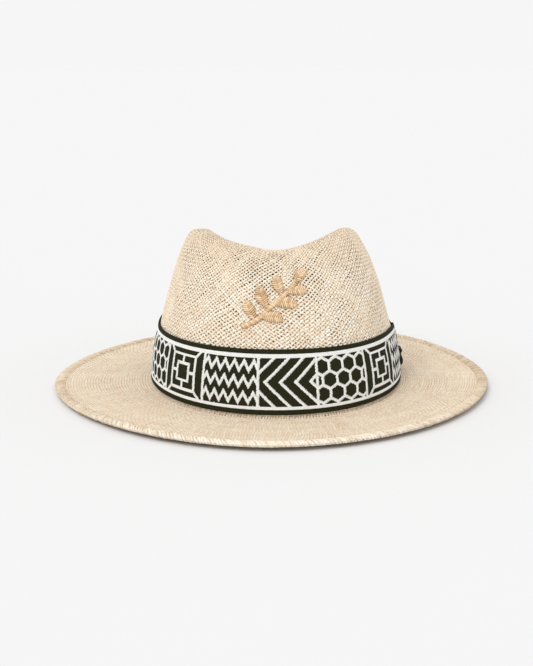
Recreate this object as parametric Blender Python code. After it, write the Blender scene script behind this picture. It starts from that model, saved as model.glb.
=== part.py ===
# A woven straw fedora with a patterned ribbon
# Metres, +Z up, the front of the hat toward -Y, the wearer's left toward +X

import math
import bmesh
import bpy
import numpy as np

MM = 0.001

# Brim outline, seen from above
BRIM_HALF_WIDTH = 150.2 * MM
BRIM_HALF_LENGTH = 172.2 * MM
BRIM_SQUARENESS = 1.06
BRIM_EGG = 0.010

# Crown oval at its foot, and where its middle lies from the brim's middle
CROWN_HALF_WIDTH = 85.8 * MM
CROWN_FRONT = 109.4 * MM
CROWN_BACK = 103.8 * MM
CROWN_EGG = 0.033
CROWN_X = 3.3 * MM
CROWN_Y = 3.4 * MM
CROWN_HEIGHT = 110.0 * MM
CROWN_SQUARENESS = 0.95

# Straw: one woven layer, and the thicker hem that turns the brim's edge
STRAW = 1.5 * MM
HEM_THICK = 3.0 * MM
HEM_WIDTH = 7.0 * MM
HEM_PROUD = 0.75 * MM
HEM_ROUND = 0.9 * MM
FOOT_ROUND = 1.2 * MM

# Height of the crown's foot over the floor at the sides
FOOT_HEIGHT = 4.5 * MM

# The most that the brim's edge stands off the floor
EDGE_LIFT = 3.8 * MM

# Ribbon, its clearance from the straw, and how far the join gathers it
RIBBON_WIDTH = 41.2 * MM
RIBBON_THICK = 0.9 * MM
RIBBON_ROUND = 0.25 * MM
CLEARANCE = 0.3 * MM
RIBBON_EASE = 2.5 * MM
JOIN_AT = 2.0
JOIN_GATHER = 5.0 * MM
JOIN_REACH = 13.0

# Knot over the ribbon's join
KNOT_HIGH = 14.0 * MM
KNOT_LONG = 11.0 * MM
KNOT_THICK = 2.4 * MM
KNOT_FOOT = 2.0 * MM
KNOT_RIM = 0.35
KNOT_CORNER = 0.12
KNOT_BUNCH = 0.8

# Mesh steps
AROUND = 64
STEPS = 2
KNOT_STEPS = 12

# Height of the crown's foot over the floor: direction, share of its height at the sides
FOOT_RISE = [
    (-180, 1.00),
    (-90, 0.51),
    (0, 1.00),
    (90, 0.82),
]

# Lift of the brim's edge off the floor: direction, share of the most that it stands off
EDGE_RISE = [
    (-180, 0.00),
    (-135, 0.61),
    (-90, 0.69),
    (-45, 0.69),
    (0, 0.76),
    (45, 1.00),
    (90, 0.21),
    (135, 0.00),
]

# Height of the rim around the crown: direction, share of the crown's height
RIM_HEIGHT = [
    (-180, 0.966),
    (-153, 0.983),
    (-132, 0.962),
    (-112, 0.940),
    (-90, 0.917),
    (-68, 0.944),
    (-48, 0.976),
    (-27, 0.995),
    (0, 0.972),
    (35, 0.860),
    (65, 0.760),
    (90, 0.710),
    (115, 0.760),
    (145, 0.860),
]

# Crown wall from the foot to the rim: share of the rim's height there,
# then the reach to the left, right, front and back as shares of the foot oval
WALL = [
    (0.000, 1.000, 1.000, 1.000, 1.000),
    (0.200, 0.976, 0.973, 0.985, 0.972),
    (0.400, 0.923, 0.909, 0.962, 0.935),
    (0.620, 0.855, 0.836, 0.915, 0.880),
    (0.810, 0.786, 0.752, 0.845, 0.810),
    (0.940, 0.718, 0.666, 0.760, 0.720),
    (0.990, 0.669, 0.609, 0.680, 0.640),
    (1.000, 0.584, 0.547, 0.590, 0.560),
]

# Top of the crown inside the rim: share of the rim oval, share of the dent's depth left
TOP = [
    (0.86, 0.93),
    (0.66, 0.58),
    (0.44, 0.20),
    (0.22, 0.03),
]
DENT_FLOOR = 0.660

# Brim from the crown's foot to the hem: share of the way, share of the foot's height
BRIM = [
    (0.22, 0.75),
    (0.48, 0.45),
    (0.76, 0.20),
]

# Ribbon's cross section, up its outer face and down its inner one:
# share of its thickness out from the straw, then share of its width and edge rounding
RIBBON_ROWS = [
    (0.5, [(0.0, 0.0)]),
    (1.0, [(0.0, 1.0), (0.2, 0.0), (0.4, 0.0), (0.6, 0.0), (0.8, 0.0), (1.0, -1.0)]),
    (0.5, [(1.0, 0.0)]),
    (0.0, [(1.0, -1.0), (0.8, 0.0), (0.6, 0.0), (0.4, 0.0), (0.2, 0.0), (0.0, 1.0)]),
]


def around(table, degrees):
    """Smooth value of a closed table of directions at one direction."""
    count = len(table)
    turn = (degrees + 180.0) % 360.0 - 180.0
    index = max(i for i in range(count) if table[i][0] <= turn)
    angles = []
    values = []
    for step in (-1, 0, 1, 2):
        where = index + step
        angles.append(table[where % count][0] + 360.0 * (where // count))
        values.append(table[where % count][1])
    span = angles[2] - angles[1]
    share = (turn - angles[1]) / span
    rise_in = (values[2] - values[0]) / (angles[2] - angles[0]) * span
    rise_out = (values[3] - values[1]) / (angles[3] - angles[1]) * span
    a = 2 * share ** 3 - 3 * share ** 2 + 1
    b = share ** 3 - 2 * share ** 2 + share
    c = 3 * share ** 2 - 2 * share ** 3
    d = share ** 3 - share ** 2
    return a * values[1] + b * rise_in + c * values[2] + d * rise_out


def power(value, exponent):
    return math.copysign(abs(value) ** exponent, value)


def ease(points, steps):
    """Smooth run of points through the given ones, with even steps between them."""
    first = 2 * points[0] - points[1]
    last = 2 * points[-1] - points[-2]
    padded = [first] + list(points) + [last]
    run = []
    for i in range(1, len(padded) - 2):
        p, q, r, s = padded[i - 1:i + 3]
        for k in range(steps):
            u = k / steps
            bend = (2 * p - 5 * q + 4 * r - s) * u * u + (3 * q - p - 3 * r + s) * u ** 3
            run.append(0.5 * (2 * q + (r - p) * u + bend))
    run.append(points[-1])
    return run


def foot_point(degrees, left, right, front, back):
    """Plan position on the crown at one direction, for four reaches."""
    turn = math.radians(degrees)
    cos, sin = math.cos(turn), math.sin(turn)
    side = left if cos < 0 else right
    length = CROWN_FRONT * front if sin < 0 else CROWN_BACK * back
    x = CROWN_HALF_WIDTH * side * power(cos, CROWN_SQUARENESS) * (1 - CROWN_EGG * sin)
    return CROWN_X + x, CROWN_Y + length * power(sin, CROWN_SQUARENESS)


def edge_lift(degrees):
    """How far the brim's edge stands off the floor at one direction."""
    return max(0.0, around(EDGE_RISE, degrees)) * EDGE_LIFT


def foot_height(degrees):
    return around(FOOT_RISE, degrees) * FOOT_HEIGHT


def crown_profile(degrees):
    """Outer points of the crown from the middle of the dent out to the foot."""
    foot = foot_height(degrees) + FOOT_ROUND
    rim = around(RIM_HEIGHT, degrees) * CROWN_HEIGHT
    wall = []
    for height, left, right, front, back in WALL:
        x, y = foot_point(degrees, left, right, front, back)
        wall.append(np.array([x, y, foot + height * (rim - foot)]))
    floor = DENT_FLOOR * CROWN_HEIGHT
    top = []
    for reach, depth in TOP:
        x = CROWN_X + (wall[-1][0] - CROWN_X) * reach
        y = CROWN_Y + (wall[-1][1] - CROWN_Y) * reach
        top.append(np.array([x, y, floor + (rim - floor) * depth]))
    middle = np.array([CROWN_X, CROWN_Y, floor])
    return ease([middle] + top[::-1] + wall[::-1], STEPS)


def brim_frame(degrees):
    """Foot of the brim, its edge, and the unit step outward across it."""
    turn = math.radians(degrees)
    cos, sin = math.cos(turn), math.sin(turn)
    width = BRIM_HALF_WIDTH * power(cos, BRIM_SQUARENESS) * (1 - BRIM_EGG * sin)
    edge = np.array([width, BRIM_HALF_LENGTH * power(sin, BRIM_SQUARENESS), 0.0])
    x, y = foot_point(degrees, 1, 1, 1, 1)
    foot = np.array([x, y, 0.0])
    out = (edge - foot) / np.linalg.norm(edge - foot)
    return foot, edge, out


def up(height):
    return np.array([0.0, 0.0, height])


def brim_top(degrees):
    """Upper points of the brim from the crown's foot out to the hem."""
    foot, edge, out = brim_frame(degrees)
    high = foot_height(degrees)
    lift = edge_lift(degrees)
    flat = HEM_THICK - HEM_PROUD + lift
    start = foot + out * FOOT_ROUND
    hem = edge - out * HEM_WIDTH
    rows = [foot + out * FOOT_ROUND * 0.3 + up(high + FOOT_ROUND * 0.3)]
    rows.append(start + up(high))
    for way, share in BRIM:
        rows.append(start + (hem - start) * way + up(flat + (high - flat) * share))
    rows.append(hem + up(flat))
    return rows


def hem_rows(degrees):
    """Points around the hem, from its raised top over the edge to its underside."""
    foot, edge, out = brim_frame(degrees)
    lift = edge_lift(degrees)
    return [
        edge - out * (HEM_WIDTH - HEM_PROUD) + up(HEM_THICK + lift),
        edge - out * HEM_ROUND + up(HEM_THICK + lift),
        edge - out * HEM_ROUND * 0.3 + up(HEM_THICK - HEM_ROUND * 0.6 + lift),
        edge + up(HEM_THICK / 2 + lift),
        edge - out * HEM_ROUND * 0.3 + up(HEM_ROUND * 0.6 + lift),
        edge - out * HEM_ROUND + up(lift),
        edge - out * (HEM_WIDTH - HEM_PROUD) + up(lift),
    ]


def directions():
    return [360.0 * k / AROUND - 180.0 for k in range(AROUND)]


def grid_normals(grid):
    """Unit normals of a grid of rows by directions, away from the head."""
    along = np.gradient(grid, axis=0)
    across = np.roll(grid, -1, axis=1) - np.roll(grid, 1, axis=1)
    normal = np.cross(along, across)
    normal[0] = (0.0, 0.0, 1.0)
    return normal / np.linalg.norm(normal, axis=2, keepdims=True)


def strip(faces, upper, lower):
    """Faces between two rings of vertex numbers."""
    count = len(upper)
    for k in range(count):
        faces.append((upper[k], lower[k], lower[(k + 1) % count], upper[(k + 1) % count]))


def ring(points, row):
    start = len(points)
    points.extend(row)
    return list(range(start, start + len(row)))


def fan(faces, middle, row):
    for k in range(len(row)):
        faces.append((middle, row[k], row[(k + 1) % len(row)]))


def make_object(name, points, faces, material):
    mesh = bpy.data.meshes.new(name)
    mesh.from_pydata([tuple(float(v) for v in p) for p in points], [], faces)
    work = bmesh.new()
    work.from_mesh(mesh)
    bmesh.ops.recalc_face_normals(work, faces=work.faces)
    work.to_mesh(mesh)
    work.free()
    for face in mesh.polygons:
        face.use_smooth = True
    mesh.materials.append(material)
    made = bpy.data.objects.new(name, mesh)
    bpy.context.scene.collection.objects.link(made)
    return made


def make_material(name, color, roughness):
    made = bpy.data.materials.new(name)
    made.use_nodes = True
    shader = made.node_tree.nodes["Principled BSDF"]
    shader.inputs["Base Color"].default_value = (*color, 1.0)
    shader.inputs["Roughness"].default_value = roughness
    return made


def build_straw(material):
    """Crown and brim as one woven layer, with the brim's edge turned into a hem."""
    columns = []
    for degrees in directions():
        columns.append(crown_profile(degrees) + brim_top(degrees))
    outer = np.array(columns).transpose(1, 0, 2)
    inner = outer - grid_normals(outer) * STRAW
    hem = np.array([hem_rows(degrees) for degrees in directions()]).transpose(1, 0, 2)
    points = []
    faces = []
    middle = outer[0][0]
    points.extend([middle, middle - up(STRAW)])
    over = [ring(points, row) for row in outer[1:]]
    under = [ring(points, row) for row in inner[1:]]
    turned = [ring(points, row) for row in hem]
    fan(faces, 0, over[0])
    fan(faces, 1, under[0])
    around_edge = over + turned + under[::-1]
    for upper, lower in zip(around_edge, around_edge[1:]):
        strip(faces, upper, lower)
    return make_object("straw_body", points, faces, material)


def wall_point(degrees, climb):
    """Point on the crown's outer wall, a given climb up from the foot."""
    profile = crown_profile(degrees)[::-1]
    for low, high in zip(profile, profile[1:]):
        step = np.linalg.norm(high - low)
        if climb <= step:
            return low + (high - low) * climb / step
        climb -= step
    return profile[-1]


def wall_offset(degrees, climb, distance):
    """The same point moved straight out from the wall."""
    small = 1.0 * MM
    rise = wall_point(degrees, climb + small) - wall_point(degrees, max(climb - small, 0.0))
    turn = wall_point(degrees + 1.0, climb) - wall_point(degrees - 1.0, climb)
    out = np.cross(turn, rise)
    return wall_point(degrees, climb) + out / np.linalg.norm(out) * distance


def from_join(degrees):
    """Turn from the join, between half a turn back and half a turn on."""
    return (degrees - JOIN_AT + 180.0) % 360.0 - 180.0


def ribbon_width(degrees):
    """Width of the ribbon along the wall, eased at the sides and gathered at the join."""
    gather = JOIN_GATHER * math.exp(-(from_join(degrees) / JOIN_REACH) ** 2)
    return RIBBON_WIDTH - RIBBON_EASE * math.cos(math.radians(degrees)) ** 2 - gather


def build_ribbon(material):
    """Flat ribbon lying around the foot of the crown."""
    points = []
    faces = []
    rings = []
    for distance, edges in RIBBON_ROWS:
        for share, inset in edges:
            row = []
            for degrees in directions():
                climb = CLEARANCE + share * ribbon_width(degrees) + inset * RIBBON_ROUND
                row.append(wall_offset(degrees, climb, CLEARANCE + distance * RIBBON_THICK))
            rings.append(ring(points, row))
    for upper, lower in zip(rings, rings[1:] + rings[:1]):
        strip(faces, upper, lower)
    return make_object("hat_band", points, faces, material)


def build_knot(material):
    """Small flat knot sewn over the ribbon's join."""
    span = math.degrees(KNOT_LONG / CROWN_HALF_WIDTH)
    points = []
    faces = []
    sheets = []
    for face in (0.0, 1.0):
        rows = []
        for i in range(KNOT_STEPS + 1):
            row = []
            for k in range(KNOT_STEPS + 1):
                u = power(2.0 * i / KNOT_STEPS - 1.0, KNOT_BUNCH)
                v = power(2.0 * k / KNOT_STEPS - 1.0, KNOT_BUNCH)
                round_u = u * math.sqrt(1.0 - KNOT_CORNER * v * v)
                round_v = v * math.sqrt(1.0 - KNOT_CORNER * u * u)
                swell = math.sqrt(max(0.0, (1.0 - u ** 4) * (1.0 - v ** 4)))
                thick = KNOT_THICK * (KNOT_RIM + (1.0 - KNOT_RIM) * swell) * face
                climb = CLEARANCE + KNOT_FOOT + KNOT_HIGH * (1.0 + round_v) / 2
                distance = 2 * CLEARANCE + RIBBON_THICK + thick
                row.append(len(points))
                points.append(wall_offset(JOIN_AT + span * round_u / 2, climb, distance))
            rows.append(row)
        sheets.append(rows)
    under, over = sheets
    last = KNOT_STEPS
    for rows in sheets:
        for i in range(last):
            for k in range(last):
                faces.append((rows[i][k], rows[i + 1][k], rows[i + 1][k + 1], rows[i][k + 1]))
    edge = [(i, 0) for i in range(last)] + [(last, k) for k in range(last)]
    edge += [(i, last) for i in range(last, 0, -1)] + [(0, k) for k in range(last, 0, -1)]
    for (i, k), (m, n) in zip(edge, edge[1:] + edge[:1]):
        faces.append((under[i][k], under[m][n], over[m][n], over[i][k]))
    return make_object("band_knot", points, faces, material)


def clear_scene():
    for old in list(bpy.data.objects):
        bpy.data.objects.remove(old, do_unlink=True)


def build():
    clear_scene()
    straw = make_material("straw", (0.80, 0.64, 0.44), 0.75)
    ribbon = make_material("ribbon", (0.035, 0.038, 0.022), 0.7)
    cord = make_material("knot_cord", (0.01, 0.01, 0.009), 0.6)
    build_straw(straw)
    build_ribbon(ribbon)
    build_knot(cord)


build()
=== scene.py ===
# A woven straw fedora with a patterned ribbon, dressed around its solids
# Metres, +Z up, the front of the hat toward -Y, the wearer's left toward +X

import math

import bpy
import numpy as np
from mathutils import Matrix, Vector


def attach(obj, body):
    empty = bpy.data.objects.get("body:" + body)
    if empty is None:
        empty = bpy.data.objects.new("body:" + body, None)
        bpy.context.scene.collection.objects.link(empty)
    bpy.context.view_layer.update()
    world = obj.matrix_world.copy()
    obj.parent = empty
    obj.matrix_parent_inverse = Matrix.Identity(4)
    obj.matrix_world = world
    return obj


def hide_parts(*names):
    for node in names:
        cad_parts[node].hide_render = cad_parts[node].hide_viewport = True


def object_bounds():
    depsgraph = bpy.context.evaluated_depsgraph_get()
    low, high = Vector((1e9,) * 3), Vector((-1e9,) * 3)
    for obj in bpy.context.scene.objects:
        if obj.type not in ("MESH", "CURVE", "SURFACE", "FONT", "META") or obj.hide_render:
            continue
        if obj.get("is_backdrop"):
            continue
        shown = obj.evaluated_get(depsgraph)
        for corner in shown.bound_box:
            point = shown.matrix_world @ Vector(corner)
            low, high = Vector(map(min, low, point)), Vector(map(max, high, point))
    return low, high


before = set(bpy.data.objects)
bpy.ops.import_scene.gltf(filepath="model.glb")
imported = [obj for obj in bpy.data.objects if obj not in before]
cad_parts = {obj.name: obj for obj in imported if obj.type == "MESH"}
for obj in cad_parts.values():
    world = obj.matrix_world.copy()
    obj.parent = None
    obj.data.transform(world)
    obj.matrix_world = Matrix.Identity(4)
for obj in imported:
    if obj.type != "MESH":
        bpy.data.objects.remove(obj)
solids_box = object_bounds()

MM = 0.001
chance = np.random.default_rng(11)

# Brim and crown outlines, as the solids have them
BRIM_HALF_WIDTH = 150.2 * MM
BRIM_HALF_LENGTH = 172.2 * MM
BRIM_SQUARENESS = 1.06
BRIM_EGG = 0.010
CROWN_HALF_WIDTH = 85.8 * MM
CROWN_FRONT = 109.4 * MM
CROWN_BACK = 103.8 * MM
CROWN_EGG = 0.033
CROWN_X = 3.3 * MM
CROWN_Y = 3.4 * MM
CROWN_HEIGHT = 110.0 * MM
CROWN_SQUARENESS = 0.95
STRAW = 1.5 * MM
HEM_THICK = 3.0 * MM
HEM_WIDTH = 7.0 * MM
HEM_PROUD = 0.75 * MM
FOOT_ROUND = 1.2 * MM
FOOT_HEIGHT = 4.5 * MM
EDGE_LIFT = 3.8 * MM
DENT_FLOOR = 0.660

# Ribbon, as the solid has it
RIBBON_WIDTH = 41.2 * MM
RIBBON_THICK = 0.9 * MM
CLEARANCE = 0.3 * MM
RIBBON_EASE = 2.5 * MM
JOIN_AT = 2.0
JOIN_GATHER = 5.0 * MM
JOIN_REACH = 13.0

# Height of the crown's foot over the floor: direction, share of its height at the sides
FOOT_RISE = [
    (-180, 1.00),
    (-90, 0.51),
    (0, 1.00),
    (90, 0.82),
]

# Lift of the brim's edge off the floor: direction, share of the most that it stands off
EDGE_RISE = [
    (-180, 0.00),
    (-135, 0.61),
    (-90, 0.69),
    (-45, 0.69),
    (0, 0.76),
    (45, 1.00),
    (90, 0.21),
    (135, 0.00),
]

# Height of the rim around the crown: direction, share of the crown's height
RIM_HEIGHT = [
    (-180, 0.966),
    (-153, 0.983),
    (-132, 0.962),
    (-112, 0.940),
    (-90, 0.917),
    (-68, 0.944),
    (-48, 0.976),
    (-27, 0.995),
    (0, 0.972),
    (35, 0.860),
    (65, 0.760),
    (90, 0.710),
    (115, 0.760),
    (145, 0.860),
]

# Crown wall from the foot to the rim: share of the rim's height there,
# then the reach to the left, right, front and back as shares of the foot oval
WALL = [
    (0.000, 1.000, 1.000, 1.000, 1.000),
    (0.200, 0.976, 0.973, 0.985, 0.972),
    (0.400, 0.923, 0.909, 0.962, 0.935),
    (0.620, 0.855, 0.836, 0.915, 0.880),
    (0.810, 0.786, 0.752, 0.845, 0.810),
    (0.940, 0.718, 0.666, 0.760, 0.720),
    (0.990, 0.669, 0.609, 0.680, 0.640),
    (1.000, 0.584, 0.547, 0.590, 0.560),
]

# Top of the crown inside the rim: share of the rim oval, share of the dent's depth left
TOP = [
    (0.86, 0.93),
    (0.66, 0.58),
    (0.44, 0.20),
    (0.22, 0.03),
]

# Brim from the crown's foot to the hem: share of the way, share of the foot's height
BRIM = [
    (0.22, 0.75),
    (0.48, 0.45),
    (0.76, 0.20),
]

# Steps of the dense grids that the straws lie on
GRID_TURNS = 1440
GRID_ROWS = 360

# Crown weave: rows of crossings from the foot to the middle of the dent
CROWN_ROWS = 149
STRAW_HALF_THICK = 0.28 * MM
STRAW_LIFT = 0.30 * MM

# Crown weave by zones: straws each way, first row, last row
CROWN_WALL_ZONE = (160, 1.5, 92.0)
CROWN_TOP_ZONES = [
    (104, 91.0, 113.0),
    (66, 112.0, 126.5),
    (40, 125.5, 135.5),
    (22, 134.5, 142.0),
    (11, 141.0, 148.7),
]
RIBBON_HIDES_ROWS = 30

# Painted shade on the crown's straws (a darker tone toward the top and on the sides), their least
# width, and their drifts in cells
TOP_PAINTED_SHADE = 1.4
SIDES_PAINTED_SHADE = 0.55
STRAW_LEAST = 0.45 * MM
DRIFT_AROUND = 0.055
DRIFT_ALONG = 0.12
DRIFT_WIDTH = 0.14

# Width of the crown's straws against the room, and what the holes in front take off it
CLOSED_WEAVE = 1.14
HOLES_LOW = 0.05
HOLES_HIGH = 0.29
HOLES_UNEVEN = 0.15

# Slow shifts of the weave: waves around, waves along, size in cells, start
WEAVE_SHIFTS = [
    (3, 1.3, 0.35, 0.13),
    (7, -2.1, 0.28, 0.57),
    (13, 3.4, 0.20, 0.31),
    (19, -5.2, 0.14, 0.83),
    (29, 8.3, 0.09, 0.47),
]

# Widths of the straws that rise to the right, and of those that fall
RISING_WIDTH = 1.80 * MM
FALLING_WIDTH = 1.58 * MM

# Brim weave by zones: spokes, way out at the start and the end, rings
BRIM_ZONES = [
    (320, 0.00, 0.155, 5),
    (360, 0.155, 0.30, 5),
    (400, 0.30, 0.62, 10),
    (464, 0.62, 1.00, 12),
]
BRIM_RING_WIDTH = 1.95 * MM
BRIM_SPOKE_WIDTH = 1.85 * MM
BRIM_LIFT = 0.20 * MM
BRIM_END_LIFT = -0.1 * MM
RINGS_BEHIND_RIBBON = [-0.045, -0.015, 0.0]
SPOKES_BEHIND_RIBBON = [-0.065, -0.03, 0.0]

# Rows where spokes were added: way out, direction, spread in degrees, share narrower
ADDED_ROWS = [
    (0.155, -128.0, 26.0, 0.32),
    (0.300, -105.0, 42.0, 0.42),
]
ADDED_ROW_REACH = 0.020

# Hem: wrapped straws over a core
HEM_WRAPS = 520
HEM_WRAP_WIDTH = 2.0 * MM
HEM_WRAP_HALF_THICK = 0.26 * MM
HEM_WRAP_LEAN = 4.5
HEM_STEPS = 10
HEM_CORE_INSET = 0.55 * MM
HEM_WRAP_INSET = 0.30 * MM
HEM_LOOSE_AT = -158.0
# Painted shade on the hem: how much darker its tone is behind the front, at the left tip and on its
# underside
HEM_ENDS_PAINTED_SHADE = 1.15
HEM_TIP_PAINTED_SHADE = 0.8
HEM_UNDER_PAINTED_SHADE = 0.3

# Layers of the hem's wraps: lean, lift in millimetres, share of the width
HEM_LAYERS = [
    (1, 0.08, 1.00),
    (-1, -0.06, 0.95),
]

# Hem from where it rises out of the brim, over the edge to its underside:
# way in from the edge as a share of its width, share of the inset, share of half its height
HEM_SECTION = [
    (1.2143, -1.0, -0.20),
    (1.0214, -1.0, 0.50),
    (0.8400, 0.0, 0.95),
    (0.5000, 0.0, 1.00),
    (0.2000, 0.0, 0.92),
    (0.0500, 1.0, 0.55),
    (0.0000, 1.0, 0.00),
    (0.0500, 1.0, -0.55),
    (0.2000, 0.0, -0.92),
    (0.5000, 0.0, -1.00),
    (0.8400, 0.0, -0.95),
]

# Ribbon: dark edges, border lines, and the height of its white threads
SELVAGE = 3.2 * MM
BORDER = 2.2 * MM
THREAD_PITCH = 0.5 * MM
THREAD_STEP = 0.35 * MM
THREAD_HALF_THICK = 0.13 * MM
RIBBON_COLUMNS = 500
RIBBON_ENDS = (-0.008, 0.999)
PANELS = 16
PANEL_LINE = 1.8

# Pleats at the ribbon's join, and the rise of its last end over its first
PLEATS = 105
PLEAT_DEPTH = 0.35 * MM
PLEAT_REACH = 0.022
LAP_LIFT = 1.0 * MM
LAP_START = 0.978
LAP_RAMP = 0.012

# Ribbon's outer face: distance from each edge in millimetres, share of its thickness
RIBBON_EDGE = [
    (0.00, 0.55),
    (0.25, 0.90),
    (0.80, 1.00),
    (1.45, 0.86),
    (2.20, 0.98),
    (2.90, 0.88),
]
RIBBON_MIDDLE = 0.86

# Knot: a looped cord of two twisted plies
KNOT_STEPS = 340
KNOT_CLIMB = 9.0 * MM
KNOT_HALF_WIDE = 4.3 * MM
KNOT_HALF_TALL = 5.7 * MM
KNOT_LIFT = 3.0 * MM
KNOT_DEPTH = 0.75 * MM
KNOT_TWISTS = 34
PLY_OFFSET = 0.42 * MM
PLY_RADIUS = 0.5 * MM
PLY_SIDES = 6

# Leaf sprig: place of its middle up the wall, and its leaves in millimetres:
# start across, start up, direction, length, width
SPRIG_CLIMB = 72.0 * MM
SPRIG_LEAVES = [
    (-13.0, -12.5, 118, 13.0, 6.4),
    (-9.5, -10.5, -8, 14.0, 6.4),
    (-5.5, -4.5, 112, 14.0, 6.8),
    (-0.5, -2.0, -6, 14.5, 6.6),
    (4.0, 3.5, 104, 13.0, 6.2),
    (8.5, 5.0, -2, 12.5, 5.8),
    (12.5, 9.5, 48, 12.5, 6.0),
]
SPRIG_STEM = [
    (-21.5, -17.5),
    (-16.0, -14.8),
    (-10.0, -11.0),
    (-4.5, -5.5),
    (0.5, -1.0),
    (6.0, 3.6),
    (12.8, 9.8),
]
STITCH_STEP = 1.25
STITCH_WIDTH = 1.40 * MM
STITCH_HALF_THICK = 0.62 * MM

# Colours of straw, light and deep, of single straws and of the tan flecks on them; the fleck colour
# is also painted as brown shade on the underside of each straw and where its tone is pushed low
RISING_COLORS = ((0.99, 0.93, 0.80, 1.0), (0.92, 0.78, 0.61, 1.0))
FALLING_COLORS = ((0.97, 0.87, 0.71, 1.0), (0.87, 0.70, 0.51, 1.0))
OUTWARD_COLORS = ((0.91, 0.81, 0.66, 1.0), (0.80, 0.65, 0.49, 1.0))
RING_COLORS = ((0.89, 0.765, 0.595, 1.0), (0.76, 0.575, 0.40, 1.0))
HEM_COLORS = ((0.98, 0.90, 0.76, 1.0), (0.82, 0.67, 0.49, 1.0))
RAFFIA_COLORS = ((0.93, 0.72, 0.48, 1.0), (0.72, 0.48, 0.27, 1.0))
FLECK_AND_SHADE_COLOR = (0.66, 0.42, 0.23, 1.0)

# Colours of the ribbon's ground and of its threads
GROUND_COLORS = ((0.030, 0.031, 0.013, 1.0), (0.012, 0.013, 0.005, 1.0))
THREAD_COLORS = ((0.96, 0.96, 0.94, 1.0), (0.84, 0.84, 0.80, 1.0))
CORD_COLORS = ((0.018, 0.017, 0.015, 1.0), (0.004, 0.004, 0.004, 1.0))

# Pale floor and light
FLOOR_COLORS = ((0.784, 0.784, 0.784, 1.0), (0.788, 0.788, 0.788, 1.0))
FLOOR_REACH = 30.0
LIGHT_LEVEL = 0.9215
KEY_ENERGY = 1.05
KEY_ANGLE = 32.0
KEY_TILT = 40.0
KEY_TURN = -28.0

# Camera at the photo's angle
LENS = 69.25
CAMERA_PLACE = (0.00327, -0.87564, 0.22213)
CAMERA_TILT = 77.823
CAMERA_TURN = 0.425


def power(value, exponent):
    return np.sign(value) * np.abs(value) ** exponent


def around(table, degrees):
    """Smooth value of a closed table of directions, at each of many directions."""
    angles = np.array([row[0] for row in table], float)
    values = np.array([row[1] for row in table], float)
    turn = (np.asarray(degrees, float) + 180.0) % 360.0 - 180.0
    count = len(table)
    index = np.searchsorted(angles, turn, side="right") - 1
    places = [index + step for step in (-1, 0, 1, 2)]
    a0, a1, a2, a3 = [angles[place % count] + 360.0 * (place // count) for place in places]
    v0, v1, v2, v3 = [values[place % count] for place in places]
    span = a2 - a1
    share = (turn - a1) / span
    rise_in = (v2 - v0) / (a2 - a0) * span
    rise_out = (v3 - v1) / (a3 - a1) * span
    value = (2 * share ** 3 - 3 * share ** 2 + 1) * v1
    value += (share ** 3 - 2 * share ** 2 + share) * rise_in
    value += (3 * share ** 2 - 2 * share ** 3) * v2
    return value + (share ** 3 - share ** 2) * rise_out


def ease(rows, steps):
    """Smooth run of rows through the given ones, with even steps between them."""
    padded = [2 * rows[0] - rows[1]] + list(rows) + [2 * rows[-1] - rows[-2]]
    run = []
    for i in range(1, len(padded) - 2):
        p, q, r, s = padded[i - 1:i + 3]
        for u in np.arange(steps) / steps:
            bend = (2 * p - 5 * q + 4 * r - s) * u * u + (3 * q - p - 3 * r + s) * u ** 3
            run.append(0.5 * (2 * q + (r - p) * u + bend))
    run.append(rows[-1])
    return np.array(run)


def foot_point(degrees, left, right, front, back):
    """Plan positions on the crown, for four reaches."""
    turn = np.radians(degrees)
    cos, sin = np.cos(turn), np.sin(turn)
    side = np.where(cos < 0, left, right)
    length = np.where(sin < 0, CROWN_FRONT * front, CROWN_BACK * back)
    x = CROWN_HALF_WIDTH * side * power(cos, CROWN_SQUARENESS) * (1 - CROWN_EGG * sin)
    return CROWN_X + x, CROWN_Y + length * power(sin, CROWN_SQUARENESS)


def edge_lift(degrees):
    """How far the brim's edge stands off the floor."""
    return np.maximum(0.0, around(EDGE_RISE, degrees)) * EDGE_LIFT


def foot_height(degrees):
    return around(FOOT_RISE, degrees) * FOOT_HEIGHT


def stack(x, y, z):
    return np.stack(np.broadcast_arrays(x, y, z), axis=-1)


def crown_rows(degrees):
    """Outer rows of the crown from the middle of the dent out to the foot."""
    foot = foot_height(degrees) + FOOT_ROUND
    rim = around(RIM_HEIGHT, degrees) * CROWN_HEIGHT
    wall = []
    for height, left, right, front, back in WALL:
        x, y = foot_point(degrees, left, right, front, back)
        wall.append(stack(x, y, foot + height * (rim - foot)))
    floor = DENT_FLOOR * CROWN_HEIGHT
    top = []
    for reach, depth in TOP:
        x = CROWN_X + (wall[-1][:, 0] - CROWN_X) * reach
        y = CROWN_Y + (wall[-1][:, 1] - CROWN_Y) * reach
        top.append(stack(x, y, floor + (rim - floor) * depth))
    middle = stack(np.full(len(degrees), CROWN_X), CROWN_Y, floor)
    return [middle] + top[::-1] + wall[::-1]


def brim_frame(degrees):
    """Foot of the brim, its edge, and the unit step outward across it."""
    turn = np.radians(degrees)
    cos, sin = np.cos(turn), np.sin(turn)
    width = BRIM_HALF_WIDTH * power(cos, BRIM_SQUARENESS) * (1 - BRIM_EGG * sin)
    edge = stack(width, BRIM_HALF_LENGTH * power(sin, BRIM_SQUARENESS), 0.0)
    x, y = foot_point(degrees, 1, 1, 1, 1)
    foot = stack(x, y, 0.0)
    out = (edge - foot) / np.linalg.norm(edge - foot, axis=-1, keepdims=True)
    return foot, edge, out


def up(height):
    return stack(0.0, 0.0, height)


def brim_rows(degrees):
    """Upper rows of the brim from the crown's foot out to the hem."""
    foot, edge, out = brim_frame(degrees)
    high = foot_height(degrees)
    flat = HEM_THICK - HEM_PROUD + edge_lift(degrees)
    start = foot + out * FOOT_ROUND
    hem = edge - out * HEM_WIDTH
    rows = [start + up(high)]
    for way, share in BRIM:
        rows.append(start + (hem - start) * way + up(flat + (high - flat) * share))
    rows.append(hem + up(flat))
    return rows


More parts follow.
